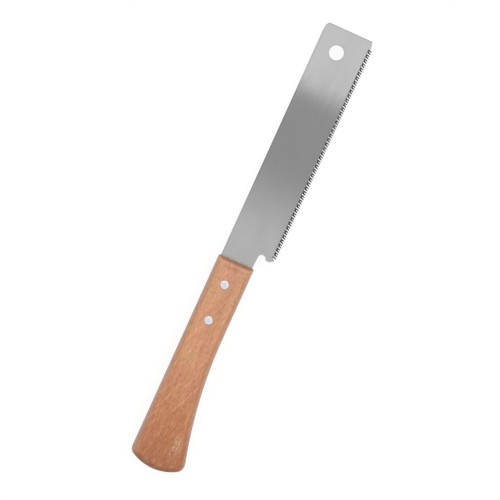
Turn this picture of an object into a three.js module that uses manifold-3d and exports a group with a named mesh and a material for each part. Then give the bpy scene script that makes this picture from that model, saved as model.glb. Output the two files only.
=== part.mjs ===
// Flush-cut pull saw: a thin toothed plate whose tang is riveted into the kerf of a one-piece beech handle.
// Millimetres. +X runs from the butt of the handle to the toe of the blade, +Z is the normal of the
// blade's faces, and the teeth are on the -Y side. The saw lies on the lower flat of its handle, and the
// origin is the middle of its bounding box, on that surface.
import * as THREE from "three";
import { mergeVertices } from "three/addons/utils/BufferGeometryUtils.js";
import Module from "manifold-3d";

const wasm = await Module();
wasm.setup();

// ---------------------------------------------------------------------------------------------------
// Driving dimensions. An x is ahead of (+) or behind (-) the handle's front end. A y is measured from
// the handle's straight back, so everything towards the belly and the teeth is negative.
// ---------------------------------------------------------------------------------------------------

// Handle
const HANDLE_LENGTH = 124;
const HANDLE_THICKNESS = 17;
const FRONT_WIDTH = 21.35;
const BELLY_STRAIGHT = 42; // length behind the front end where the belly is parallel to the back
const BELLY_RADIUS = 275; // the belly's long hollow, tangent to its straight part
const BUTT_RADIUS = 26.5;
const BUTT_CENTRE_Y = -15.2;
const EDGE_ROUND = 4; // roundover along every edge of the two flats
const CORNERS = { front: 0.8, back: 4.5, belly: 5 }; // corner radii in plan

// Kerf for the tang, cut into the front end by a circular saw
const KERF_WIDTH = 0.7;
const KERF_DEPTH = 50;
const KERF_SAW_RADIUS = 60;

// Blade
const BLADE_THICKNESS = 0.5;
const TOE_X = 143;
const SPINE_Y = -1.06;
const TOE_FALL = { length: 5.3, drop: 0.45 }; // the spine falls a little just before the toe
const TOE_CLIP = { x: 1.5, y: 1.3 }; // the clipped corner between the spine and the toe
const TOE_TOOTH_RADIUS = 0.8;
const TANG_LENGTH = 48;
const TANG_CORNER = 3;
const TANG_Y = -20.1; // the tang's edge on the tooth side
const HANG_HOLE = { x: 129.1, y: -13.2, radius: 4.2 };

// Relief notch and heel lobe, between the neck and the first tooth
const NECK_END = { x: 6.8, y: -20.45 };
const NOTCH = { x: 7.15, y: -22.65, radius: 2.2 };
const NOTCH_EXIT = THREE.MathUtils.degToRad(-58); // where the notch's arc runs out into the lobe
const LOBE = { x: 7.15, control: -25.0, start: -25.45, end: -27.65 };
const LOBE_FACETS = 5;
const HEEL_CORNER = { x: 8.75, y: -29.6 };
const HEEL_LAND = 0.5; // the flat end of the lobe, behind the first gullet

// Teeth, on a straight line that leaves the blade a little wider at the toe than at the heel
const TOOTH_COUNT = 95;
const TOOTH_PITCH = 1.352;
const LAST_TIP_X = 137.3;
const FIRST_TIP_X = LAST_TIP_X - (TOOTH_COUNT - 1) * TOOTH_PITCH;
const TIP_Y = { heel: -30.2, toe: -31.0 };
const ROOT_Y = { heel: -27.95, toe: -28.8 };
const TOOTH_FOOT = { heel: 0.14, toe: 1.1 }; // where its flanks meet the root line, ahead of its point
const TOOTH_LAND = { heel: -0.2, toe: 0.12 }; // the ends of its point
const TOOTH_SHOULDER = 0.62; // where its sloped top facet ends, ahead of its point
const TOOTH_FACET = 0.24; // how far down the tooth that is, as a share of its height
const GULLET_STEP = { heel: 0.9, toe: 0.75 }; // how much shallower every second gullet is
const GULLET_TAPER = 0.12; // how far back up the flank a shallow gullet starts, for each millimetre
const TOE_STEP = { x: 138.65, y: -29.95 }; // the plain edge ahead of the last tooth begins here
const TOE_EDGE_Y = -29.3; // and ends at this y, at the toe

// Rivets
const RIVET_X = { rivet_front: -14.5, rivet_rear: -36.1 };
const RIVET_Y = -9.85;
const HEAD_RADIUS = 2.5;
const SHANK_RADIUS = 2;
const HEAD_RIM = 0.3; // straight rim of a head
const HEAD_CONE = 0.6; // countersink under the rim
const HEAD_RECESS = 0.05; // the heads stop this far under the handle's flats
const RIVET_CLEARANCE = 0.1;

// Fineness of the facets
const CHORD_ERROR = 0.04; // how far a facet may stray from its arc
const ROUNDOVER_SEGMENTS = 7;
const RIVET_SEGMENTS = 36;
const WELD = 1e-4; // points closer than this are one point
const OVERCUT = 1; // how far a cutter stands out of the piece that it cuts

// Worked out from the dimensions above
const BUTT_CENTRE = new THREE.Vector2(BUTT_RADIUS - HANDLE_LENGTH, BUTT_CENTRE_Y);
const BELLY_CENTRE = new THREE.Vector2(-BELLY_STRAIGHT, -FRONT_WIDTH - BELLY_RADIUS);
const MID_HEIGHT = HANDLE_THICKNESS / 2;
const SWELL_WIDTH = CORNERS.belly - buttCorners(CORNERS).belly.y; // the saw's overall width

// ---------------------------------------------------------------------------------------------------
// Helpers
// ---------------------------------------------------------------------------------------------------

// A closed geometry as a manifold solid: only its positions count, with shared corners merged.
function solid(geometry) {
  const bare = geometry.clone();
  bare.deleteAttribute("normal");
  bare.deleteAttribute("uv");
  const merged = mergeVertices(bare, WELD);
  const mesh = new wasm.Mesh({
    numProp: 3,
    vertProperties: merged.attributes.position.array,
    triVerts: new Uint32Array(merged.index.array),
  });
  return new wasm.Manifold(mesh);
}

// A manifold solid back as a geometry.
function geometryOf(body) {
  const mesh = body.getMesh();
  const geometry = new THREE.BufferGeometry();
  geometry.setAttribute("position", new THREE.BufferAttribute(mesh.vertProperties, 3));
  geometry.setIndex(new THREE.BufferAttribute(mesh.triVerts, 1));
  geometry.computeVertexNormals();
  return geometry;
}

// Points of an arc, or its centre alone where the radius is 0. An end below the start runs clockwise.
function arc(centre, radius, start, end) {
  if (radius === 0) return [centre];
  const step = 2 * Math.acos(1 - CHORD_ERROR / radius);
  const count = Math.ceil(Math.abs(end - start) / step);
  const clockwise = end < start;
  const curve = new THREE.EllipseCurve(centre.x, centre.y, radius, radius, start, end, clockwise);
  return curve.getPoints(count);
}

// A closed outline through the points, leaving out a point that repeats the one before it.
function closedShape(points) {
  return new THREE.Shape(points.filter((p, i) => p.distanceTo(points.at(i - 1)) > WELD));
}

// A straight-walled prism over a plan outline.
function prism(shape, bottom, depth) {
  return new THREE.ExtrudeGeometry(shape, { depth, bevelEnabled: false }).translate(0, 0, bottom);
}

function point(x, y) {
  return new THREE.Vector2(x, y);
}

// Direction from one point to another, as an angle from 0 to a full turn.
function heading(from, to) {
  return to.clone().sub(from).angle();
}

// The crossing of two circles that lies to the right of the line from the first centre to the second.
function circlesMeet(centreA, radiusA, centreB, radiusB) {
  const apart = centreA.distanceTo(centreB);
  const along = (radiusA ** 2 - radiusB ** 2 + apart ** 2) / (2 * apart);
  const aside = Math.sqrt(radiusA ** 2 - along ** 2);
  const ahead = centreB.clone().sub(centreA).divideScalar(apart);
  return centreA.clone().addScaledVector(ahead, along).addScaledVector(point(ahead.y, -ahead.x), aside);
}

// ---------------------------------------------------------------------------------------------------
// Handle
// ---------------------------------------------------------------------------------------------------

// Centres of the two rounds beside the butt, each inside the butt's arc and touching it. The one at the
// back touches the straight back, and the one at the belly touches the hollow from outside its circle.
function buttCorners(radii) {
  const rise = radii.back + BUTT_CENTRE_Y;
  const reach = Math.sqrt((BUTT_RADIUS - radii.back) ** 2 - rise ** 2);
  const back = new THREE.Vector2(BUTT_CENTRE.x - reach, -radii.back);
  const inside = BUTT_RADIUS - radii.belly;
  const outside = BELLY_RADIUS + radii.belly;
  const belly = circlesMeet(BUTT_CENTRE, inside, BELLY_CENTRE, outside);
  return { back, belly };
}

// Plan outline of the handle: square front end, straight back, round butt and hollow belly.
function handleOutline(radii) {
  const { back, belly } = buttCorners(radii);
  const backAngle = heading(BUTT_CENTRE, back);
  const bellyAngle = heading(BUTT_CENTRE, belly);
  const hollowAngle = heading(BELLY_CENTRE, belly);
  const front = radii.front;
  return closedShape([
    ...arc(point(-front, front - FRONT_WIDTH), front, -Math.PI / 2, 0),
    ...arc(point(-front, -front), front, 0, Math.PI / 2),
    ...arc(back, radii.back, Math.PI / 2, backAngle),
    ...arc(BUTT_CENTRE, BUTT_RADIUS, backAngle, bellyAngle),
    ...arc(belly, radii.belly, bellyAngle, hollowAngle + Math.PI),
    ...arc(BELLY_CENTRE, BELLY_RADIUS, hollowAngle, Math.PI / 2),
  ]);
}

// The block whose two flats have all their edges rounded over. A corner tighter than the roundover is
// still sharp on it, because an outline can't be inset by more than the radius of its corners.
function roundedOverBlock() {
  const sharp = { ...CORNERS, front: 0 };
  const block = new THREE.ExtrudeGeometry(handleOutline(sharp), {
    depth: HANDLE_THICKNESS - 2 * EDGE_ROUND,
    bevelThickness: EDGE_ROUND,
    bevelSize: EDGE_ROUND,
    bevelOffset: -EDGE_ROUND,
    bevelSegments: ROUNDOVER_SEGMENTS,
  });
  return block.translate(0, 0, EDGE_ROUND);
}

// What a circular saw takes out when the front end is fed onto it, level with the blade.
function kerfCutter() {
  const centre = point(KERF_SAW_RADIUS - KERF_DEPTH, -FRONT_WIDTH / 2);
  const halfSpan = BUTT_RADIUS;
  const spread = Math.asin(halfSpan / KERF_SAW_RADIUS);
  const shape = closedShape([
    point(OVERCUT, centre.y - halfSpan),
    point(OVERCUT, centre.y + halfSpan),
    ...arc(centre, KERF_SAW_RADIUS, Math.PI - spread, Math.PI + spread),
  ]);
  return prism(shape, MID_HEIGHT - KERF_WIDTH / 2, KERF_WIDTH);
}

function handleGeometry() {
  const plan = prism(handleOutline(CORNERS), 0, HANDLE_THICKNESS);
  let body = solid(roundedOverBlock()).intersect(solid(plan)).subtract(solid(kerfCutter()));
  for (const x of Object.values(RIVET_X)) {
    const hole = rivetTurned(RIVET_CLEARANCE, OVERCUT).translate(x, RIVET_Y, 0);
    body = body.subtract(solid(hole));
  }
  return geometryOf(body);
}

// ---------------------------------------------------------------------------------------------------
// Blade
// ---------------------------------------------------------------------------------------------------

// The neck's edge, the relief notch and the lobe that shields the first tooth.
function heelPoints() {
  const notch = arc(point(NOTCH.x, NOTCH.y), NOTCH.radius, Math.PI / 2, NOTCH_EXIT);
  const lobeRound = new THREE.QuadraticBezierCurve(
    notch.at(-1),
    point(LOBE.x, LOBE.control),
    point(LOBE.x, LOBE.start),
  );
  return [
    point(0, TANG_Y),
    point(NECK_END.x, NECK_END.y),
    ...notch,
    ...lobeRound.getPoints(LOBE_FACETS),
    point(LOBE.x, LOBE.end),
    point(HEEL_CORNER.x, HEEL_CORNER.y),
    point(HEEL_CORNER.x + HEEL_LAND, HEEL_CORNER.y),
    point(FIRST_TIP_X - TOOTH_PITCH + TOOTH_FOOT.toe, ROOT_Y.heel),
  ];
}

// Pull teeth: each point hooks towards the handle, with a long sloping back on its toe side.
function toothPoints() {
  const points = [];
  for (let i = 0; i < TOOTH_COUNT; i++) {
    const along = i / (TOOTH_COUNT - 1);
    const tipY = THREE.MathUtils.lerp(TIP_Y.heel, TIP_Y.toe, along);
    const rootY = THREE.MathUtils.lerp(ROOT_Y.heel, ROOT_Y.toe, along);
    const tip = FIRST_TIP_X + i * TOOTH_PITCH;
    const shallow = THREE.MathUtils.lerp(GULLET_STEP.heel, GULLET_STEP.toe, along);
    const heelStep = i % 2 === 0 && i > 0 ? shallow : 0;
    const toeStep = i % 2 === 1 ? shallow : 0;
    const shoulderY = THREE.MathUtils.lerp(tipY, rootY, TOOTH_FACET);
    points.push(point(tip + TOOTH_FOOT.heel - heelStep * GULLET_TAPER, rootY - heelStep));
    points.push(point(tip + TOOTH_LAND.heel, tipY));
    points.push(point(tip + TOOTH_LAND.toe, tipY));
    points.push(point(tip + TOOTH_SHOULDER, shoulderY));
    points.push(point(tip + TOOTH_FOOT.toe - toeStep * GULLET_TAPER, rootY - toeStep));
  }
  return points;
}

function toePoints() {
  const toothCorner = point(TOE_X - TOE_TOOTH_RADIUS, TOE_EDGE_Y + TOE_TOOTH_RADIUS);
  const clipY = SPINE_Y - TOE_FALL.drop;
  return [
    point(TOE_STEP.x, TOE_STEP.y),
    ...arc(toothCorner, TOE_TOOTH_RADIUS, -Math.PI / 2, 0),
    point(TOE_X, clipY - TOE_CLIP.y),
    point(TOE_X - TOE_CLIP.x, clipY),
    point(TOE_X - TOE_FALL.length, SPINE_Y),
  ];
}

function tangPoints() {
  const end = TANG_CORNER - TANG_LENGTH;
  return [
    ...arc(point(end, SPINE_Y - TANG_CORNER), TANG_CORNER, Math.PI / 2, Math.PI),
    ...arc(point(end, TANG_Y + TANG_CORNER), TANG_CORNER, Math.PI, 1.5 * Math.PI),
  ];
}

function roundHole(x, y, radius) {
  return closedShape(arc(point(x, y), radius, 0, 2 * Math.PI));
}

function bladeGeometry() {
  const shape = closedShape([...heelPoints(), ...toothPoints(), ...toePoints(), ...tangPoints()]);
  shape.holes.push(roundHole(HANG_HOLE.x, HANG_HOLE.y, HANG_HOLE.radius));
  for (const x of Object.values(RIVET_X)) {
    shape.holes.push(roundHole(x, RIVET_Y, SHANK_RADIUS + RIVET_CLEARANCE));
  }
  return geometryOf(solid(prism(shape, MID_HEIGHT - BLADE_THICKNESS / 2, BLADE_THICKNESS)));
}

// ---------------------------------------------------------------------------------------------------
// Rivets
// ---------------------------------------------------------------------------------------------------

// A turned pin with a countersunk head at both ends, standing through the handle. With a clearance and
// an overshoot of its ends, it is the cutter for its own hole.
function rivetTurned(clearance, overshoot) {
  const head = HEAD_RADIUS + clearance;
  const shank = SHANK_RADIUS + clearance;
  const rim = HEAD_RECESS + HEAD_RIM;
  const cone = rim + HEAD_CONE;
  const low = HEAD_RECESS - overshoot;
  const lowerHalf = [
    [0, low],
    [head, low],
    [head, rim],
    [shank, cone],
  ];
  const upperHalf = lowerHalf.map(([r, z]) => [r, HANDLE_THICKNESS - z]).reverse();
  const profile = [...lowerHalf, ...upperHalf].map(([r, z]) => new THREE.Vector2(r, z));
  return new THREE.LatheGeometry(profile, RIVET_SEGMENTS).rotateX(Math.PI / 2);
}

// ---------------------------------------------------------------------------------------------------
// Materials
// ---------------------------------------------------------------------------------------------------

function beech() {
  return new THREE.MeshStandardMaterial({ color: 0xcc9670, roughness: 0.55, metalness: 0 });
}

function springSteel() {
  return new THREE.MeshStandardMaterial({ color: 0xa8a9ab, roughness: 0.35, metalness: 1 });
}

function aluminium() {
  return new THREE.MeshStandardMaterial({ color: 0xe4e5e8, roughness: 0.3, metalness: 1 });
}

// ---------------------------------------------------------------------------------------------------
// Assembly
// ---------------------------------------------------------------------------------------------------

function part(name, geometry, material) {
  const mesh = new THREE.Mesh(geometry, material);
  mesh.name = name;
  return mesh;
}

const saw = new THREE.Group();
saw.add(part("handle", handleGeometry(), beech()));
saw.add(part("blade", bladeGeometry(), springSteel()));
for (const [name, x] of Object.entries(RIVET_X)) {
  const rivet = part(name, geometryOf(solid(rivetTurned(0, 0))), aluminium());
  rivet.position.set(x, RIVET_Y, 0);
  saw.add(rivet);
}
saw.position.set((HANDLE_LENGTH - TOE_X) / 2, SWELL_WIDTH / 2, 0);

// The saw's own frame is at the handle's front end, so it is moved to put the origin at its middle.
const centred = new THREE.Group();
centred.add(saw);

export default centred;
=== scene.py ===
"""Looks of the flush-cut pull saw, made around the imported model, in metres and in its frame.

Outlines are worked out in millimetres from the handle's front end and its straight back, as the design
does: x is ahead of the front end, y is below zero from the back towards the belly, and z is up from the
surface that the saw lies on.
"""
import math

import bmesh
import bpy
from mathutils import Matrix, Vector
from mathutils.geometry import delaunay_2d_cdt


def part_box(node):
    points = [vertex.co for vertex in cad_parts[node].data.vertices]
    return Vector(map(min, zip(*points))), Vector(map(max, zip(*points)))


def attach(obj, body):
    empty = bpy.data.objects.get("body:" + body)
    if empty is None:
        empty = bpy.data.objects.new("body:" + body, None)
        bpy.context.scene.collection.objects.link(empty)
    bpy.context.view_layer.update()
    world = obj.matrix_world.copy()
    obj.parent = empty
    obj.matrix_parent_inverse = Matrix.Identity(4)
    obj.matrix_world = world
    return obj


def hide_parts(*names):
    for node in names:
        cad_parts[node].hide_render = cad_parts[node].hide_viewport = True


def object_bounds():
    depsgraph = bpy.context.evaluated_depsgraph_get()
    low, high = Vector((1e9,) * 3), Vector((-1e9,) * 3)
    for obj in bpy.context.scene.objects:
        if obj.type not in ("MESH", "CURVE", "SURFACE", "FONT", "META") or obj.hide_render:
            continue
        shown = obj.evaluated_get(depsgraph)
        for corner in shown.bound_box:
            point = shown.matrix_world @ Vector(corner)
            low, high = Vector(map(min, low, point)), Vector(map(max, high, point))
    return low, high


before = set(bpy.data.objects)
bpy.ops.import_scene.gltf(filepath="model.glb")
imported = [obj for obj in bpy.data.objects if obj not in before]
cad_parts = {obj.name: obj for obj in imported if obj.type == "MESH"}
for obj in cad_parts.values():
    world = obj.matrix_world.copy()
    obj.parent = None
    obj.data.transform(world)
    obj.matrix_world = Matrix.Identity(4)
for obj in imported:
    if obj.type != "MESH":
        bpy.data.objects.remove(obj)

MM = 0.001
cad_low, cad_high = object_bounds()
handle_low, handle_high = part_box("handle")
blade_low, blade_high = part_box("blade")
FRONT_X = handle_high.x  # where the design's x and y are zero
BACK_Y = handle_high.y

# ---------------------------------------------------------------------------------------------------
# Dimensions, in millimetres
# ---------------------------------------------------------------------------------------------------

# Handle
LENGTH = (handle_high.x - handle_low.x) / MM
THICKNESS = (handle_high.z - handle_low.z) / MM
FRONT_WIDTH = 21.35
BELLY_STRAIGHT = 42  # how far back the belly runs before it curves
BELLY_RADIUS = 275
BUTT_RADIUS = 26.5
BUTT_CENTRE = Vector((BUTT_RADIUS - LENGTH, -15.2))
BELLY_CENTRE = Vector((-BELLY_STRAIGHT, -FRONT_WIDTH - BELLY_RADIUS))
CORNERS = {"front": 0.8, "back": 4.5, "belly": 5}
SANDED_CORNER = 0.8  # least radius that sanding leaves on a mitre of the roundover
EDGE_ROUND = 4
CAP_MARGIN = 0.7  # flat border that keeps the roundover's shading off the flat
BEVEL_REACH = 4.1  # the sanded bevel at the front end starts this far behind it
BEVEL_SLOPE = math.radians(13)
CUT_MARGIN = 1  # how far the cutters stand out of the handle

# Kerf
KERF_WIDTH = 0.7
KERF_DEPTH = 50
KERF_SAW_RADIUS = 60
KERF_REACH = 26.5  # half the width of its cutter, well past the handle's sides

# Blade
PLATE_LOW = blade_low.z / MM
PLATE_HIGH = blade_high.z / MM
TOE_X = (blade_high.x - FRONT_X) / MM
SPINE_Y = (blade_high.y - BACK_Y) / MM
TANG_END = (blade_low.x - FRONT_X) / MM
TOE_FALL = (5.3, 0.45)  # length and drop of the fall of the spine just before the toe
TOE_CLIP = (1.5, 1.3)  # the clipped corner between the spine and the toe
TOE_TOOTH_RADIUS = 0.8
TANG_CORNER = 3
TANG_Y = -20.1
HANG_HOLE = (129.1, -13.2)
HANG_HOLE_RADIUS = 4.2
NECK_END = (6.8, -20.45)
NOTCH = (7.15, -22.65)
NOTCH_RADIUS = 2.2
NOTCH_EXIT = math.radians(-58)
LOBE_X = 7.15
LOBE_CONTROL_Y = -25.0
LOBE_START_Y = -25.45
LOBE_END_Y = -27.65
HEEL_CORNER = (8.75, -29.6)
HEEL_LAND = 0.5  # the flat end of the lobe, behind the first gullet
DEBURR = 0.07  # chamfer on the plate's plain edges

# Teeth
TOOTH_COUNT = 95
TOOTH_PITCH = 1.352
LAST_TIP_X = 137.3
FIRST_TIP_X = LAST_TIP_X - (TOOTH_COUNT - 1) * TOOTH_PITCH
TIP_Y = (-30.2, -31.0)  # at the heel and at the toe
ROOT_Y = (-27.95, -28.8)
TOOTH_FOOT = (0.14, 1.1)  # where the two flanks meet the root line, ahead of the tip
TOOTH_LAND = (-0.2, 0.12)  # the narrow flat at the tip
TOOTH_SHOULDER = 0.62  # where the sloped top facet ends, ahead of the tip
TOOTH_FACET = 0.24  # how far down the tooth that is
GULLET_STEP = (0.9, 0.75)  # how much less deep every second gullet is, at the heel and at the toe
GULLET_TAPER = 0.12  # how far a flank's foot moves towards the heel for each millimetre less of depth
FLEAM = 0.45  # how much a bevelled flank leans in from one face of the plate to the other
FLEAM_SHARES = (1, 0.5, 0.5, -0.4, -0.5)  # how much of that lean each of a tooth's five points has
FLEAM_ROOT = 0.5  # how much deeper the file cuts the root on the bevelled face
TOE_STEP = (138.65, -29.95)  # where the plain edge after the last tooth starts
TOE_EDGE_Y = -29.3  # how far up that edge has come at the toe

# Rivets
RIVETS = {name: (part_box(name)[0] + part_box(name)[1]) / 2 for name in ("rivet_front", "rivet_rear")}
HEAD_RADIUS = (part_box("rivet_front")[1].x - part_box("rivet_front")[0].x) / 2 / MM
SHANK_RADIUS = 2
HEAD_RIM = 0.3  # height of the head's straight rim, and then of its cone
HEAD_CONE = 0.6
HEAD_SINK = 0.05  # how much deeper the head's cone starts than its seat, inside the clearance
HEAD_DROP = 0.14  # how far the dome's rim is below the handle's flat, and in from the head's radius
HEAD_EDGE = ((0.04, 0.05), (0, 0.13))  # points round the rim: in from the radius, down from the dome
HEAD_CROWN = 0.06  # height of the dome above its rim
DIMPLE_RADIUS = 1.15
DIMPLE_DEPTH = 0.05
HOLE_CLEARANCE = 0.06

# Steps in each curve
ROUND_STEPS = 10
CORNER_STEPS = 10
BACK_CORNER_STEPS = 8
BUTT_STEPS = 30
BELLY_STEPS = 22
KERF_STEPS = 24
NOTCH_STEPS = 18
PLATE_CORNER_STEPS = 8
HANG_HOLE_STEPS = 72
TANG_HOLE_STEPS = 24
RIVET_STEPS = 64
DOME_STEPS = 14

# Edges that turn by more than this stay crisp, in degrees
HANDLE_CRISP = 11.5
PLATE_CRISP = 25
RIVET_CRISP = 40


def in_frame(x, y, z):
    """A point of the design, in millimetres, as a point of the frame, in metres."""
    return Vector((FRONT_X + x * MM, BACK_Y + y * MM, z * MM))


# ---------------------------------------------------------------------------------------------------
# Mesh helpers
# ---------------------------------------------------------------------------------------------------


def arc(centre, radius, start, end, steps):
    """Points of an arc from one angle to another, both included."""
    turns = [start + (end - start) * i / steps for i in range(steps + 1)]
    return [Vector((centre[0] + radius * math.cos(t), centre[1] + radius * math.sin(t))) for t in turns]


def ring(centre, radius, z, steps):
    """Points of a level circle."""
    circle = arc(centre, radius, 0, math.tau * (steps - 1) / steps, steps - 1)
    return [(p.x, p.y, z) for p in circle]


def heading(start, end):
    """Direction from one point to another, as an angle from 0 to a full turn."""
    return math.atan2(end[1] - start[1], end[0] - start[0]) % math.tau


def circles_meet(centre_a, radius_a, centre_b, radius_b):
    """The crossing of two circles to the right of the line from the first centre to the second."""
    apart = (centre_b - centre_a).length
    along = (radius_a**2 - radius_b**2 + apart**2) / (2 * apart)
    aside = math.sqrt(radius_a**2 - along**2)
    ahead = (centre_b - centre_a) / apart
    return centre_a + ahead * along + Vector((ahead.y, -ahead.x)) * aside


def both_faces(profile):
    """A profile of (size, z) from one flat of the handle, then its mirror image to the other flat."""
    return profile + [(size, THICKNESS - z) for size, z in reversed(profile)]


def mesh_object(name, points, faces, weld=1e-6):
    """A mesh object from points of the design and faces, with points closer than weld merged."""
    made = bmesh.new()
    verts = [made.verts.new(in_frame(*p)) for p in points]
    for face in faces:
        made.faces.new([verts[i] for i in face])
    bmesh.ops.remove_doubles(made, verts=made.verts, dist=weld)
    bmesh.ops.dissolve_degenerate(made, edges=made.edges, dist=weld)
    bmesh.ops.recalc_face_normals(made, faces=made.faces)
    mesh = bpy.data.meshes.new(name)
    made.to_mesh(mesh)
    made.free()
    piece = bpy.data.objects.new(name, mesh)
    bpy.context.scene.collection.objects.link(piece)
    return piece


def skin(rings):
    """Points and faces of a stack of closed rings of equal length, without its two ends."""
    size = len(rings[0])
    points = [p for loop in rings for p in loop]
    faces = []
    for low in range(len(rings) - 1):
        for i in range(size):
            j = (i + 1) % size
            a, b = low * size, (low + 1) * size
            faces.append((a + i, a + j, b + j, b + i))
    return points, faces


def solid_stack(name, rings):
    """A closed body whose ends are the first and the last ring, filled in."""
    points, faces = skin(rings)
    size = len(rings[0])
    faces.append(tuple(reversed(range(size))))
    faces.append(tuple(range(len(points) - size, len(points))))
    return mesh_object(name, points, faces)


def turned(name, profile, centre, steps):
    """A body turned round a vertical axis, from a profile of (radius, z) that starts and ends on it."""
    points, faces = skin([ring(centre, radius, z, steps) for radius, z in profile])
    return mesh_object(name, points, faces)


def prism(name, outline, low, high):
    """A straight-walled body over an outline."""
    return solid_stack(name, [[(p[0], p[1], z) for p in outline] for z in (low, high)])


def cut(piece, cutters):
    """Takes the cutters out of a piece, and removes them."""
    for cutter in cutters:
        modifier = piece.modifiers.new("cut", "BOOLEAN")
        modifier.object = cutter
        modifier.operation = "DIFFERENCE"
        modifier.solver = "EXACT"
    whole = piece.evaluated_get(bpy.context.evaluated_depsgraph_get())
    mesh = bpy.data.meshes.new_from_object(whole)
    piece.modifiers.clear()
    piece.data = mesh
    for cutter in cutters:
        bpy.data.objects.remove(cutter)


def finish_shading(piece, angle):
    """Smooth shading that keeps every edge over that angle, in degrees, crisp."""
    piece.data.shade_smooth()
    piece.data.set_sharp_from_angle(angle=math.radians(angle))


# ---------------------------------------------------------------------------------------------------
# Handle
# ---------------------------------------------------------------------------------------------------


def handle_outline(inset):
    """Plan outline of the handle, that far inside its widest one."""
    radii = {name: max(radius, inset + SANDED_CORNER) for name, radius in CORNERS.items()}
    front, rear, low = radii["front"], radii["back"], radii["belly"]
    reach = math.sqrt((BUTT_RADIUS - rear) ** 2 - (rear + BUTT_CENTRE.y) ** 2)
    back = Vector((BUTT_CENTRE.x - reach, -rear))
    belly = circles_meet(BUTT_CENTRE, BUTT_RADIUS - low, BELLY_CENTRE, BELLY_RADIUS + low)
    back_angle = heading(BUTT_CENTRE, back)
    belly_angle = heading(BUTT_CENTRE, belly)
    hollow_angle = heading(BELLY_CENTRE, belly)
    right = math.pi / 2
    return [
        *arc((-front, front - FRONT_WIDTH), front - inset, -right, 0, CORNER_STEPS),
        *arc((-front, -front), front - inset, 0, right, CORNER_STEPS),
        *arc(back, rear - inset, right, back_angle, BACK_CORNER_STEPS),
        *arc(BUTT_CENTRE, BUTT_RADIUS - inset, back_angle, belly_angle, BUTT_STEPS),
        *arc(belly, low - inset, belly_angle, hollow_angle + math.pi, CORNER_STEPS),
        *arc(BELLY_CENTRE, BELLY_RADIUS + inset, hollow_angle, right, BELLY_STEPS),
    ]


def handle_rings():
    """The handle's outlines from one flat to the other, round both of its roundovers."""
    half = [(EDGE_ROUND + CAP_MARGIN, 0)]
    for i in range(ROUND_STEPS + 1):
        turn = math.pi / 2 * i / ROUND_STEPS
        half.append((EDGE_ROUND * (1 - math.sin(turn)), EDGE_ROUND * (1 - math.cos(turn))))
    return [[(p.x, p.y, z) for p in handle_outline(inset)] for inset, z in both_faces(half)]


def kerf_cutter():
    """What a circular saw takes out of the front end, level with the plate."""
    centre = (KERF_SAW_RADIUS - KERF_DEPTH, -FRONT_WIDTH / 2)
    spread = math.asin(KERF_REACH / KERF_SAW_RADIUS)
    outline = [
        (CUT_MARGIN, centre[1] - KERF_REACH),
        (CUT_MARGIN, centre[1] + KERF_REACH),
        *arc(centre, KERF_SAW_RADIUS, math.pi - spread, math.pi + spread, KERF_STEPS),
    ]
    middle = THICKNESS / 2
    return prism("kerf", outline, middle - KERF_WIDTH / 2, middle + KERF_WIDTH / 2)


def bevel_cutter(upper):
    """The wedge that sanding takes off one flat at the front end."""
    drop = (BEVEL_REACH + CUT_MARGIN) * math.tan(BEVEL_SLOPE)
    profile = [
        (-BEVEL_REACH, 0),
        (CUT_MARGIN, -drop),
        (CUT_MARGIN, CUT_MARGIN),
        (-BEVEL_REACH, CUT_MARGIN),
    ]
    rings = []
    for y in (CUT_MARGIN, -FRONT_WIDTH - CUT_MARGIN):
        rings.append([(x, y, THICKNESS + rise if upper else -rise) for x, rise in profile])
    return solid_stack("bevel", rings)


def rivet_hole(place):
    """The countersunk hole that a rivet stands in."""
    head = HEAD_RADIUS + HOLE_CLEARANCE
    shank = SHANK_RADIUS + HOLE_CLEARANCE
    profile = [(0, -CUT_MARGIN), (head, -CUT_MARGIN), (head, HEAD_RIM), (shank, HEAD_RIM + HEAD_CONE)]
    return turned("rivet_hole", both_faces(profile), place, RIVET_STEPS)


def design_place(centre):
    """A point of the frame as (x, y) of the design."""
    return ((centre.x - FRONT_X) / MM, (centre.y - BACK_Y) / MM)


def make_handle():
    """The rounded handle, with its kerf, its two bevels and its rivet holes cut in."""
    piece = solid_stack("handle_beech", handle_rings())
    holes = [rivet_hole(design_place(centre)) for centre in RIVETS.values()]
    cut(piece, [kerf_cutter(), bevel_cutter(True), bevel_cutter(False), *holes])
    finish_shading(piece, HANDLE_CRISP)
    return piece


# ---------------------------------------------------------------------------------------------------
# Blade
# ---------------------------------------------------------------------------------------------------


def bezier(start, control, end, steps):
    """Points of a quadratic curve after its start."""
    start, control, end = Vector(start), Vector(control), Vector(end)
    points = []
    for i in range(1, steps + 1):
        t = i / steps
        points.append(start.lerp(control, t).lerp(control.lerp(end, t), t))
    return points


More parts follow.
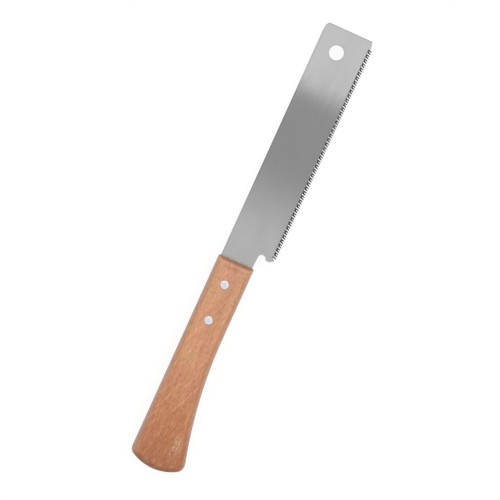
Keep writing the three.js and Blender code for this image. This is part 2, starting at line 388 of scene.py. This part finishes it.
def plain_corners():
    """The neck, the relief notch and the lobe, then the toe, then the tang, as three stretches."""
    notch = arc(NOTCH, NOTCH_RADIUS, math.pi / 2, NOTCH_EXIT, NOTCH_STEPS)
    lobe_start = (LOBE_X, LOBE_START_Y)
    heel = [
        Vector((0, TANG_Y)),
        Vector(NECK_END),
        *notch[1:],
        *bezier(notch[-1], (LOBE_X, LOBE_CONTROL_Y), lobe_start, PLATE_CORNER_STEPS),
        Vector((LOBE_X, LOBE_END_Y)),
        Vector(HEEL_CORNER),
        Vector((HEEL_CORNER[0] + HEEL_LAND, HEEL_CORNER[1])),
        Vector((FIRST_TIP_X - TOOTH_PITCH + TOOTH_FOOT[1], ROOT_Y[0])),
    ]
    tooth_corner = (TOE_X - TOE_TOOTH_RADIUS, TOE_EDGE_Y + TOE_TOOTH_RADIUS)
    clip_y = SPINE_Y - TOE_FALL[1]
    toe = [
        Vector(TOE_STEP),
        *arc(tooth_corner, TOE_TOOTH_RADIUS, -math.pi / 2, 0, PLATE_CORNER_STEPS),
        Vector((TOE_X, clip_y - TOE_CLIP[1])),
        Vector((TOE_X - TOE_CLIP[0], clip_y)),
        Vector((TOE_X - TOE_FALL[0], SPINE_Y)),
    ]
    end = TANG_END + TANG_CORNER
    spine_corner = (end, SPINE_Y - TANG_CORNER)
    belly_corner = (end, TANG_Y + TANG_CORNER)
    tang = [
        *arc(spine_corner, TANG_CORNER, math.pi / 2, math.pi, PLATE_CORNER_STEPS),
        *arc(belly_corner, TANG_CORNER, math.pi, 1.5 * math.pi, PLATE_CORNER_STEPS),
    ]
    return heel, toe, tang


def between_ends(pair, along):
    """A value that changes evenly from the heel, where along is 0, to the toe, where it is 1."""
    return pair[0] + (pair[1] - pair[0]) * along


def tooth_points(upper):
    """The tooth line as one face of the plate has it: leaning teeth, each with a sloped top facet.

    Every second tooth is bevelled on that face, and every second gullet is filed less deep.
    """
    points = []
    for i in range(TOOTH_COUNT):
        along = i / (TOOTH_COUNT - 1)
        tip_y = between_ends(TIP_Y, along)
        root_y = between_ends(ROOT_Y, along)
        shallow = between_ends(GULLET_STEP, along)
        shallow_heel = shallow if i % 2 == 0 and i > 0 else 0
        shallow_toe = shallow if i % 2 == 1 else 0
        bevelled = (i % 2 == 0) == upper
        lean = FLEAM if bevelled else 0
        deeper = FLEAM_ROOT if bevelled else 0
        tip = FIRST_TIP_X + i * TOOTH_PITCH
        form = (
            (tip + TOOTH_FOOT[0] - shallow_heel * GULLET_TAPER, root_y - shallow_heel),
            (tip + TOOTH_LAND[0], tip_y),
            (tip + TOOTH_LAND[1], tip_y),
            (tip + TOOTH_SHOULDER, tip_y + TOOTH_FACET * (root_y - tip_y)),
            (tip + TOOTH_FOOT[1] - shallow_toe * GULLET_TAPER, root_y - shallow_toe),
        )
        for (x, y), share in zip(form, FLEAM_SHARES):
            points.append(Vector((x + lean * share, y + deeper)))
    return points


def inward(points, amount):
    """A closed outline moved inwards by an amount for each point, along the mitre of its two edges."""
    least = 0.2  # keeps the mitre of a very sharp corner short
    moved = []
    for i, p in enumerate(points):
        before = (p - points[i - 1]).normalized()
        after = (points[(i + 1) % len(points)] - p).normalized()
        normal = Vector((-before.y, before.x)) + Vector((-after.y, after.x))
        normal /= max(normal.length_squared / 2, least)
        moved.append(p + normal * amount[i])
    return moved


def plate_outline(upper):
    """The plate's outline on one face, and the chamfer that each of its points has."""
    heel, toe, tang = plain_corners()
    teeth = tooth_points(upper)
    points = [*heel, *teeth, *toe, *tang]
    chamfer = [DEBURR] * len(heel) + [0] * len(teeth) + [DEBURR] * (len(toe) + len(tang))
    return points, chamfer


def plate_loops():
    """Each loop of the plate, outer one first, as its four rings from the upper face to the lower."""
    outer = []
    for upper in (True, False):
        points, chamfer = plate_outline(upper)
        face = PLATE_HIGH if upper else PLATE_LOW
        sign = -1 if upper else 1
        flat = [(p.x, p.y, face) for p in inward(points, chamfer)]
        wall = [(p.x, p.y, face + sign * c) for p, c in zip(points, chamfer)]
        outer += [flat, wall] if upper else [wall, flat]
    loops = [outer]
    holes = [(HANG_HOLE, HANG_HOLE_RADIUS, HANG_HOLE_STEPS)]
    for centre in RIVETS.values():
        holes.append((design_place(centre), SHANK_RADIUS + HOLE_CLEARANCE, TANG_HOLE_STEPS))
    for centre, radius, steps in holes:
        levels = [
            (radius + DEBURR, PLATE_HIGH),
            (radius, PLATE_HIGH - DEBURR),
            (radius, PLATE_LOW + DEBURR),
            (radius + DEBURR, PLATE_LOW),
        ]
        loops.append([ring(centre, r, z, steps) for r, z in levels])
    return loops


def face_triangles(outlines):
    """Triangles that fill the first outline and leave the others open, by their points' indices."""
    points = [Vector(p[:2]) for outline in outlines for p in outline]
    owner = [loop for loop, outline in enumerate(outlines) for _ in outline]
    edges = []
    start = 0
    for outline in outlines:
        size = len(outline)
        edges += [(start + i, start + (i + 1) % size) for i in range(size)]
        start += size
    fill_inside, merge_below = 1, 1e-6
    kept = []
    for face in delaunay_2d_cdt(points, edges, [], fill_inside, merge_below)[2]:
        owners = {owner[i] for i in face}
        if owners == {0} or len(owners) > 1:
            kept.append(face)
    return kept


def make_blade():
    """The toothed plate with its tang and its three holes."""
    loops = plate_loops()
    points, faces, starts = [], [], []
    for rings in loops:
        loop_points, loop_faces = skin(rings)
        starts.append(len(points))
        faces += [tuple(starts[-1] + i for i in face) for face in loop_faces]
        points += loop_points
    for level in (0, 3):  # the rings round the upper face and the lower one
        outlines = [rings[level] for rings in loops]
        index = []
        for start, outline in zip(starts, outlines):
            index += [start + level * len(outline) + i for i in range(len(outline))]
        faces += [tuple(index[i] for i in face) for face in face_triangles(outlines)]
    piece = mesh_object("blade_plate", points, faces)
    finish_shading(piece, PLATE_CRISP)
    return piece


# ---------------------------------------------------------------------------------------------------
# Rivets
# ---------------------------------------------------------------------------------------------------


def rivet_profile():
    """Half section of a rivet: both heads are peened, a little domed, with a shallow dimple."""
    head = []
    for i in range(DOME_STEPS + 1):
        radius = (HEAD_RADIUS - HEAD_DROP) * i / DOME_STEPS
        dome = HEAD_CROWN * (1 - (radius / HEAD_RADIUS) ** 2)
        dimple = DIMPLE_DEPTH * max(0, 1 - (radius / DIMPLE_RADIUS) ** 2) ** 2
        head.append((radius, HEAD_DROP - dome + dimple))
    for inside, below in HEAD_EDGE:
        head.append((HEAD_RADIUS - inside, HEAD_DROP + below))
    seat = HEAD_RIM + HEAD_SINK
    head.append((HEAD_RADIUS, seat))
    head.append((SHANK_RADIUS, seat + HEAD_CONE))
    return both_faces(head)


def make_rivet(node):
    """The finished rivet that stands for a CAD node."""
    piece = turned(node + "_peened", rivet_profile(), design_place(RIVETS[node]), RIVET_STEPS)
    finish_shading(piece, RIVET_CRISP)
    return piece


# ---------------------------------------------------------------------------------------------------
# Material helpers
# ---------------------------------------------------------------------------------------------------


class Nodes:
    """A node tree, with short ways to add nodes that are fed by sockets or by plain values."""

    def __init__(self, owner):
        owner.use_nodes = True
        self.tree = owner.node_tree
        self.tree.nodes.clear()

    def add(self, kind, inputs, **settings):
        node = self.tree.nodes.new("ShaderNode" + kind)
        for name, value in settings.items():
            setattr(node, name, value)
        for socket, value in inputs.items():
            if isinstance(value, bpy.types.NodeSocket):
                self.tree.links.new(value, node.inputs[socket])
            else:
                node.inputs[socket].default_value = value
        return node

    def math(self, operation, a, b=0.0):
        return self.add("Math", {0: a, 1: b}, operation=operation).outputs[0]

    def vector(self, operation, a, b):
        return self.add("VectorMath", {0: a, 1: b}, operation=operation).outputs[0]

    def ramp(self, value, low, high, start=0.0, end=1.0):
        """Rises smoothly from start to end while the value goes from low to high."""
        inputs = {"Value": value, "From Min": low, "From Max": high, "To Min": start, "To Max": end}
        return self.add("MapRange", inputs, interpolation_type="SMOOTHSTEP").outputs[0]

    def ramp_linear(self, value, low, high):
        """Rises evenly from 0 to 1 while the value goes from low to high."""
        return self.add("MapRange", {"Value": value, "From Min": low, "From Max": high}).outputs[0]

    def stops(self, value, tones):
        """A colour ramp through (position, colour) stops."""
        node = self.add("ValToRGB", {"Fac": value})
        elements = node.color_ramp.elements
        while len(elements) < len(tones):
            elements.new(0.5)
        for element, (position, tone) in zip(elements, tones):
            element.position = position
            element.color = tone
        return node.outputs["Color"]

    def mix(self, factor, a, b):
        return self.add("Mix", {0: factor, 6: a, 7: b}, data_type="RGBA").outputs[2]

    def layer(self, below, source, span, amount, tone, share=None):
        """Mixes in a tone by up to amount as the source crosses the span, times any share."""
        factor = self.ramp(source, *span, 0.0, amount)
        if share is not None:
            factor = self.math("MULTIPLY", factor, share)
        return self.mix(factor, below, tone)

    def weighted(self, *parts):
        """The sum of some values, each times its weight."""
        total = None
        for value, weight in parts:
            part = self.math("MULTIPLY", value, weight)
            total = part if total is None else self.math("ADD", total, part)
        return total

    def distance(self, x, y, centre):
        """How far the shaded point is from a vertical axis, in millimetres."""
        dx = self.math("SUBTRACT", x, centre[0])
        dy = self.math("SUBTRACT", y, centre[1])
        squares = self.math("ADD", self.math("MULTIPLY", dx, dx), self.math("MULTIPLY", dy, dy))
        return self.math("SQRT", squares)

    def flecks(self, place, size):
        """Scattered lens-shaped flecks of uneven strength, in cells as long, wide and high as size."""
        core, edge = 0.16, 0.4  # how far a fleck's full part and its whole reach from its middle
        none, full = 0.3, 0.9  # the chance draws at which a cell has no fleck, or one at full strength
        cells = self.vector("MULTIPLY", place, [1 / length for length in size])
        found = self.add("TexVoronoi", {"Vector": cells, "Scale": 1.0, "Randomness": 1.0})
        shape = self.ramp(found.outputs["Distance"], core, edge, 1.0, 0.0)
        chance = self.split(found.outputs["Color"])[0]
        return self.math("MULTIPLY", shape, self.ramp(chance, none, full))

    def noise(self, place, stretch, detail, turn=0.0):
        """Noise whose grains are as long, wide and high as stretch says, in millimetres."""
        scale = [1 / length for length in stretch]
        turned_place = self.add("Mapping", {"Vector": place, "Rotation": (0, 0, turn)}).outputs[0]
        scaled = self.vector("MULTIPLY", turned_place, scale)
        inputs = {"Vector": scaled, "Scale": 1.0, "Detail": detail, "Roughness": 0.5}
        return self.add("TexNoise", inputs).outputs["Fac"]

    def design_coordinates(self):
        """The shaded point in the design's millimetres."""
        place = self.add("TexCoord", {}).outputs["Object"]
        moved = self.vector("SUBTRACT", place, (FRONT_X, BACK_Y, 0))
        return self.vector("MULTIPLY", moved, (1 / MM, 1 / MM, 1 / MM))

    def split(self, vector):
        """The three parts of a vector."""
        return self.add("SeparateXYZ", {0: vector}).outputs

    def normal(self):
        """The three parts of the surface's normal."""
        return self.split(self.add("NewGeometry", {}).outputs["Normal"])

    def principled(self, tone, roughness, height, strength, depth, **settings):
        """The surface itself, with a bump from a height, whose full swing is the depth in metres."""
        bump = self.add("Bump", {"Height": height, "Strength": strength, "Distance": depth})
        inputs = {"Base Color": tone, "Roughness": roughness, "Normal": bump.outputs[0]}
        shader = self.add("BsdfPrincipled", {**inputs, **settings})
        self.add("OutputMaterial", {"Surface": shader.outputs[0]})

    def between(self, value, low, high, blur):
        """1 from low to high, falling to 0 over blur outside."""
        rising = self.ramp(value, low - blur, low)
        falling = self.ramp(value, high, high + blur, 1.0, 0.0)
        return self.math("MULTIPLY", rising, falling)


def colour(red, green, blue):
    """An sRGB colour, 0 to 255, as the linear one that nodes take."""
    linear = []
    for value in (red / 255, green / 255, blue / 255):
        linear.append(value / 12.92 if value <= 0.04045 else ((value + 0.055) / 1.055) ** 2.4)
    return (*linear, 1.0)


# ---------------------------------------------------------------------------------------------------
# Tones, and the leans of the grain
# ---------------------------------------------------------------------------------------------------

# Beech from the butt, at 0, to the front end, at 1: darker and redder towards the butt
BEECH_TONES = (
    (0.0, colour(156, 86, 41)),
    (0.25, colour(181, 109, 59)),
    (0.55, colour(206, 144, 103)),
    (1.0, colour(211, 155, 118)),
)
BEECH = {
    "light_band": colour(222, 168, 128),
    "dark_band": colour(160, 98, 64),
    "yellow_patch": colour(198, 156, 104),
    "pink_patch": colour(214, 138, 112),
    "light_streak": colour(232, 178, 136),
    "dark_streak": colour(158, 94, 62),
    "light_mottle": colour(230, 178, 140),
    "dark_mottle": colour(148, 90, 60),
    "fibre": colour(140, 82, 52),
    "fleck": colour(126, 70, 44),
    "pore": colour(110, 62, 40),
    "end_grain": colour(104, 66, 50),
    "painted_edge_sheen": colour(180, 158, 148),
    # painted shade where the flat turns into the roundover
    "slope": colour(134, 92, 70),
    "pale_back_sheen": colour(210, 176, 158),
    "scuff_glint": colour(232, 204, 190),
    "crease": colour(140, 80, 50),
    "rivet_shade": colour(168, 150, 142),
}
FIGURE_LEAN = math.radians(24)  # how far the light figure in the wood runs off the handle's axis
MOTTLE_LEAN = math.radians(8)
SCUFF_GLINT_LEAN = math.radians(10)

STEEL = {
    "dark_line": colour(198, 198, 198),
    "light_line": colour(205, 205, 205),
    "cloud": colour(188, 188, 189),
    "edge_shade": colour(150, 152, 156),
    "dark_teeth": colour(16, 16, 16),
    "wall": colour(110, 110, 112),
    "handle_reflection": colour(172, 134, 110),
}

ALUMINIUM = {
    "dark_grain": colour(184, 191, 198),
    "light_grain": colour(198, 204, 210),
    "patch": colour(172, 178, 188),
    # painted reflections of the wood round the head
    "outer": colour(222, 204, 198),
    "rim": colour(194, 164, 150),
}
BRUSHING_LEAN = math.radians(35)


# ---------------------------------------------------------------------------------------------------
# Materials
# ---------------------------------------------------------------------------------------------------


def beech_grain(n, place, x):
    """The wood's own colour, and the height of its surface."""
    warp = n.noise(place, (30, 9, 9), 2)
    warped = n.vector("ADD", place, n.vector("MULTIPLY", warp, (0.0, 3.0, 3.0)))
    tone = n.stops(n.ramp_linear(x, -LENGTH, 0), BEECH_TONES)

    # Broad bands and patches, calmer towards the butt
    calm = n.ramp(x, -98, -66, 0.5, 1.0)
    bands = n.noise(warped, (70, 5, 8), 3)
    tone = n.layer(tone, bands, (0.5, 0.72), 0.35, BEECH["light_band"], calm)
    tone = n.layer(tone, bands, (0.5, 0.3), 0.3, BEECH["dark_band"], calm)
    patches = n.noise(place, (13, 5, 6), 3)
    tone = n.layer(tone, patches, (0.5, 0.68), 0.5, BEECH["yellow_patch"], calm)
    tone = n.layer(tone, patches, (0.48, 0.32), 0.36, BEECH["pink_patch"], calm)

    # Slanting figure, strongest halfway along
    sweep = n.noise(place, (19, 1.35, 8), 3, turn=FIGURE_LEAN)
    figure = n.math("ADD", n.math("MULTIPLY", n.between(x, -84, -52, 32), 0.24), 0.12)
    tone = n.layer(tone, sweep, (0.54, 0.7), 1.0, BEECH["light_streak"], figure)
    tone = n.layer(tone, sweep, (0.42, 0.28), 1.0, BEECH["dark_streak"], figure)

    # Fine mottling and fibres
    mottle = n.noise(warped, (2.8, 0.65, 1.2), 3, turn=MOTTLE_LEAN)
    tone = n.layer(tone, mottle, (0.5, 0.7), 0.3, BEECH["light_mottle"])
    tone = n.layer(tone, mottle, (0.5, 0.3), 0.3, BEECH["dark_mottle"])
    fibres = n.noise(warped, (14, 0.35, 0.5), 3)
    tone = n.layer(tone, fibres, (0.65, 0.35), 0.22, BEECH["fibre"])

    # Ray flecks and pores
    fleck = n.flecks(warped, (2.9, 0.5, 5))
    small_fleck = n.flecks(n.vector("ADD", warped, (17, 5, 3)), (1.5, 0.3, 3))
    tone = n.mix(n.math("MULTIPLY", fleck, 0.6), tone, BEECH["fleck"])
    tone = n.mix(n.math("MULTIPLY", small_fleck, 0.42), tone, BEECH["fleck"])
    pore = n.ramp(n.noise(warped, (1.1, 0.09, 0.09), 1), 0.62, 0.72)
    tone = n.mix(n.math("MULTIPLY", pore, 0.3), tone, BEECH["pore"])

    return tone, n.weighted((fleck, -0.5), (pore, -0.6), (fibres, 0.6))


def beech_wear(n, tone, place, x, y):
    """The wood's colour with darker end grain, a few scuffs, and painted sheen and shade on its edges,
    at the front bevel and round the rivets.
    """
    normal = n.normal()
    facing_up = n.math("ABSOLUTE", normal[2])
    facing_end = n.math("ABSOLUTE", normal[0])

    front_end = n.ramp(normal[0], 0.25, 0.85, 0.0, 0.52)
    butt_end = n.ramp(normal[0], -0.25, -0.85, 0.0, 0.66)
    tone = n.mix(n.math("ADD", front_end, butt_end), tone, BEECH["end_grain"])

    # Painted sheen and shade: a pale grey tone on the roundovers, where the surface turns from the flat
    # to the sides
    edge_sheen = n.math("MULTIPLY", n.ramp(facing_up, 0.94, 0.5, 0.0, 0.58), n.ramp(facing_up, 0.05, 0.4))
    edge_sheen = n.math("MULTIPLY", edge_sheen, n.ramp(facing_end, 0.2, 0.6, 1.0, 0.0))
    tone = n.mix(edge_sheen, tone, BEECH["painted_edge_sheen"])
    # Painted shade: the wood darkens a little where the flat starts to turn into the roundover
    tone = n.layer(tone, facing_up, (0.998, 0.93), 0.16, BEECH["slope"])

    # Painted sheen: a paler strip along the back's rounded edge, towards the butt
    pale_back_sheen = n.math("MULTIPLY", n.between(x, -122, -72, 14), n.ramp(y, -4.5, -2))
    tone = n.mix(n.math("MULTIPLY", pale_back_sheen, 0.2), tone, BEECH["pale_back_sheen"])

    # Pale scuff marks near the butt, on the belly side, painted bright as the glint of a highlight
    scuff_glint_place = n.math("MULTIPLY", n.between(x, -112, -104, 4), n.between(y, -23.3, -20.8, 1.2))
    scuff_glint_noise = n.ramp(n.noise(place, (1.6, 0.5, 0.6), 3, turn=SCUFF_GLINT_LEAN), 0.52, 0.64)
    scuff_glint = n.math("MULTIPLY", scuff_glint_place, scuff_glint_noise)
    tone = n.mix(n.math("MULTIPLY", scuff_glint, 0.55), tone, BEECH["scuff_glint"])

    # The shade where the bevel at the front end starts
    flat = n.ramp(facing_up, 0.9, 0.97)
    crease_line = n.between(x, -BEVEL_REACH - 1.0, -BEVEL_REACH + 0.2, 0.8)
    crease = n.math("MULTIPLY", n.math("MULTIPLY", crease_line, flat), n.between(y, -13.5, -7.5, 4.5))
    tone = n.mix(n.math("MULTIPLY", crease, 0.3), tone, BEECH["crease"])

    # Painted shade: a greyer ring round each rivet head, standing in for the shadow in the gap of its
    # countersink
    for centre in RIVETS.values():
        away = n.distance(x, y, design_place(centre))
        rivet_shade = n.ramp(away, HEAD_RADIUS + 0.2, HEAD_RADIUS + 1.3, 0.42, 0.0)
        tone = n.mix(rivet_shade, tone, BEECH["rivet_shade"])
    return tone


def beech():
    """Oiled beech: pink-brown, with ray flecks, fibre streaks, darker end grain, a few scuffs with
    painted glints, and painted sheen and shade on its edges.
    """
    material = bpy.data.materials.new("beech")
    n = Nodes(material)
    place = n.design_coordinates()
    x, y = n.split(place)[:2]
    tone, height = beech_grain(n, place, x)
    tone = beech_wear(n, tone, place, x, y)
    roughness = n.ramp(n.noise(place, (9, 5, 5), 3), 0.3, 0.7, 0.4, 0.54)
    n.principled(tone, roughness, height, strength=0.35, depth=0.00006)
    return material


def spring_steel():
    """Bright rolled strip: fine lines along its length, painted shade along its edges, darkened teeth,
    and a painted reflection of the handle just in front of it.
    """
    material = bpy.data.materials.new("spring_steel")
    n = Nodes(material)
    place = n.design_coordinates()
    x, y = n.split(place)[:2]

    lines = n.noise(place, (40, 0.12, 2), 3)
    cloud = n.noise(place, (18, 7, 5), 3)
    tone = n.mix(n.ramp(lines, 0.3, 0.7), STEEL["dark_line"], STEEL["light_line"])
    tone = n.layer(tone, cloud, (0.35, 0.7), 0.25, STEEL["cloud"])

    # Painted shade: a slightly darker margin along the spine, the toe and the hang hole, where the
    # edges reflect darker
    spine = n.ramp(y, SPINE_Y - 1.0, SPINE_Y - 0.3)
    toe = n.ramp(x, TOE_X - 1.0, TOE_X - 0.3)
    away = n.distance(x, y, HANG_HOLE)
    rim = n.ramp(away, HANG_HOLE_RADIUS + 0.3, HANG_HOLE_RADIUS + 0.9, 0.5, 0.0)
    edge_shade = n.math("MAXIMUM", n.math("MAXIMUM", spine, toe), rim)
    tone = n.mix(n.math("MULTIPLY", edge_shade, 0.35), tone, STEEL["edge_shade"])

    # Teeth darkened up to an uneven line just above their roots
    slope = (ROOT_Y[1] - ROOT_Y[0]) / (LAST_TIP_X - FIRST_TIP_X)
    root_line = n.math("ADD", n.math("MULTIPLY", x, slope), ROOT_Y[0] - slope * FIRST_TIP_X)
    below = n.math("SUBTRACT", root_line, y)
    along = n.between(x, FIRST_TIP_X - 0.6, LAST_TIP_X + 0.7, 0.3)
    wobble = n.math("MULTIPLY", n.math("SUBTRACT", n.noise(place, (2.5, 1, 1), 2), 0.5), 0.5)
    dark_teeth = n.math("MULTIPLY", n.ramp(n.math("ADD", below, wobble), -0.35, 0.25), along)
    dark_teeth = n.math("MULTIPLY", dark_teeth, 0.96)
    tone = n.mix(dark_teeth, tone, STEEL["dark_teeth"])

    wall = n.ramp(n.math("ABSOLUTE", n.normal()[2]), 0.5, 0.9, 1.0, 0.0)
    tone = n.mix(n.math("MULTIPLY", wall, 0.7), tone, STEEL["wall"])

    # Painted reflection and shade of the handle: a warm, darker tint on the plate just in front of it
    handle_reflection_noise = n.ramp(n.noise(place, (2, 3, 2), 2), 0.3, 0.6, 0.16, 0.4)
    handle_reflection = n.math("MULTIPLY", n.ramp(x, 1.7, 0.3), handle_reflection_noise)
    tone = n.mix(handle_reflection, tone, STEEL["handle_reflection"])

    roughness = n.ramp(cloud, 0.3, 0.7, 0.028, 0.045)
    roughness = n.math("ADD", roughness, n.math("MULTIPLY", dark_teeth, 0.5))
    roughness = n.math("ADD", roughness, n.math("MULTIPLY", wall, 0.2))
    n.principled(tone, roughness, lines, strength=0.09, depth=0.00001, Metallic=1.0)
    return material


def rivet_aluminium():
    """Peened aluminium, faintly brushed, and warmer towards the rim with a painted reflection of the
    wood round it.
    """
    material = bpy.data.materials.new("rivet_aluminium")
    n = Nodes(material)
    place = n.design_coordinates()
    x, y = n.split(place)[:2]
    fine = n.noise(place, (0.25, 0.18, 0.3), 3, turn=BRUSHING_LEAN)
    patches = n.noise(place, (1.4, 1.1, 1), 2)
    away = HEAD_RADIUS
    for centre in RIVETS.values():
        away = n.math("MINIMUM", away, n.distance(x, y, design_place(centre)))
    tone = n.mix(n.ramp(fine, 0.3, 0.7), ALUMINIUM["dark_grain"], ALUMINIUM["light_grain"])
    tone = n.layer(tone, patches, (0.45, 0.75), 0.3, ALUMINIUM["patch"])
    # Painted reflection of the wood: warmer tones towards the head's rim
    tone = n.layer(tone, away, (0.4 * HEAD_RADIUS, 0.8 * HEAD_RADIUS), 1.0, ALUMINIUM["outer"])
    tone = n.layer(tone, away, (0.86 * HEAD_RADIUS, HEAD_RADIUS), 1.0, ALUMINIUM["rim"])
    roughness = n.ramp(patches, 0.3, 0.7, 0.3, 0.42)
    n.principled(tone, roughness, fine, strength=0.25, depth=0.00003, Metallic=1.0)
    return material


# ---------------------------------------------------------------------------------------------------
# Stage, light and camera
# ---------------------------------------------------------------------------------------------------


FLOOR_HALF = 6.0
FLOOR_DROP = 0.0002  # keeps it clear of the handle's lower face
FLOOR_GREY = 0.15
FLOOR_GLOW = 0.865

# Brightness of the studio. A height is the z of a direction: 0 is level and 1 is straight up.
WALL_LEVEL = 1.02
ZENITH_LEVEL = 0.45
WALL_FADE = (0.08, 0.28)  # heights between which the wall fades to the zenith
RING_LEVEL = 2.1
RING_BIAS = 0.9  # how much more of the ring's light comes from the key's side
RING_START = (0.77, 0.82)
RING_END = (0.945, 0.97)
KEY_AZIMUTH = math.radians(-45)

# The two banks behind the camera. A lean is x over z of a direction, so it grows towards the toe.
BANKS_START = (0.93, 0.97)
TOE_BANK_LEVEL = 0.46
TOE_BANK_START = (0.0735, 0.0785)
HANDLE_BANK_LEVEL = 0.31
HANDLE_BANK_START = (-0.14, -0.05)
HANDLE_BANK_END = (0.004, 0.043)

CAMERA_HEIGHT = 1.25  # above the plate
VIEW_WIDTH = 0.279  # what the picture spans at the plate
SENSOR_WIDTH = 36
CAMERA_LEAN = math.radians(24.406)
AIM_SHIFT = (-0.00104, -0.0001)  # from the saw's middle, towards the picture's right and its top


def make_floor():
    """A plain white floor, bright enough by itself that shadows on it stay faint."""
    half = FLOOR_HALF
    mesh = bpy.data.meshes.new("floor")
    corners = [(-half, -half, 0), (half, -half, 0), (half, half, 0), (-half, half, 0)]
    mesh.from_pydata(corners, [], [(0, 1, 2, 3)])
    floor = bpy.data.objects.new("floor", mesh)
    bpy.context.scene.collection.objects.link(floor)
    floor.location.z = -FLOOR_DROP
    material = bpy.data.materials.new("floor_white")
    n = Nodes(material)
    shader = n.add("BsdfPrincipled", {
        "Base Color": (FLOOR_GREY, FLOOR_GREY, FLOOR_GREY, 1.0),
        "Roughness": 0.9,
        "Specular IOR Level": 0.0,
        "Emission Color": (1.0, 1.0, 1.0, 1.0),
        "Emission Strength": FLOOR_GLOW,
    })
    n.add("OutputMaterial", {"Surface": shader.outputs[0]})
    floor.data.materials.append(material)


def make_light():
    """A studio of soft light: a pale wall all round, and above it a ring of light, open in its middle
    for the camera, with two dimmer banks behind the camera that the blade mirrors."""
    world = bpy.data.worlds.new("studio")
    bpy.context.scene.world = world
    n = Nodes(world)
    direction = n.add("TexCoord", {}).outputs["Generated"]
    x, _, z = n.split(direction)

    level = n.ramp(z, *WALL_FADE, WALL_LEVEL, ZENITH_LEVEL)

    key = (math.cos(KEY_AZIMUTH), math.sin(KEY_AZIMUTH), 0.0)
    facing = n.add("VectorMath", {0: direction, 1: key}, operation="DOT_PRODUCT").outputs["Value"]
    ring_shape = n.math("MULTIPLY", n.ramp(z, *RING_START), n.ramp(z, *RING_END, 1.0, 0.0))
    strength = n.math("MULTIPLY_ADD", facing, RING_LEVEL * RING_BIAS)
    strength.node.inputs[2].default_value = RING_LEVEL
    level = n.math("ADD", level, n.math("MULTIPLY", ring_shape, strength))

    overhead = n.ramp(z, *BANKS_START)
    steepest = 0.2  # keeps the lean finite near the horizon
    lean = n.math("DIVIDE", x, n.math("MAXIMUM", z, steepest))
    toe_bank = n.ramp(lean, *TOE_BANK_START, 0.0, TOE_BANK_LEVEL)
    handle_bank = n.ramp(lean, *HANDLE_BANK_END, HANDLE_BANK_LEVEL, 0.0)
    handle_bank = n.math("MULTIPLY", handle_bank, n.ramp(lean, *HANDLE_BANK_START))
    banks = n.math("MULTIPLY", overhead, n.math("ADD", toe_bank, handle_bank))
    level = n.math("ADD", level, banks)
    background = n.add("Background", {"Color": (1.0, 1.0, 1.0, 1.0), "Strength": level})
    n.add("OutputWorld", {"Surface": background.outputs[0]})


def make_camera():
    """Straight above the saw, turned so that the blade leans to the right of the picture's top."""
    right = Vector((math.sin(CAMERA_LEAN), -math.cos(CAMERA_LEAN), 0))
    up = Vector((math.cos(CAMERA_LEAN), math.sin(CAMERA_LEAN), 0))
    back = Vector((0, 0, 1))
    middle = (cad_low + cad_high) / 2
    data = bpy.data.cameras.new("camera")
    data.sensor_width = SENSOR_WIDTH
    data.lens = data.sensor_width * CAMERA_HEIGHT / VIEW_WIDTH
    camera = bpy.data.objects.new("camera", data)
    bpy.context.scene.collection.objects.link(camera)
    aim = Vector((middle.x, middle.y, PLATE_HIGH * MM)) + AIM_SHIFT[0] * right + AIM_SHIFT[1] * up
    camera.matrix_world = Matrix((right, up, back)).transposed().to_4x4()
    camera.location = aim + back * CAMERA_HEIGHT
    bpy.context.scene.camera = camera


# ---------------------------------------------------------------------------------------------------
# Assembly
# ---------------------------------------------------------------------------------------------------


def dress(piece, material, node):
    """Gives a piece its material, and puts it in the place of its CAD node."""
    piece.data.materials.clear()
    piece.data.materials.append(material)
    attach(piece, "root")
    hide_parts(node)


dress(make_handle(), beech(), "handle")
dress(make_blade(), spring_steel(), "blade")
aluminium = rivet_aluminium()
for rivet_node in RIVETS:
    dress(make_rivet(rivet_node), aluminium, rivet_node)

make_floor()
make_light()
make_camera()
bpy.context.scene.view_settings.view_transform = "Standard"  # keeps the white floor white
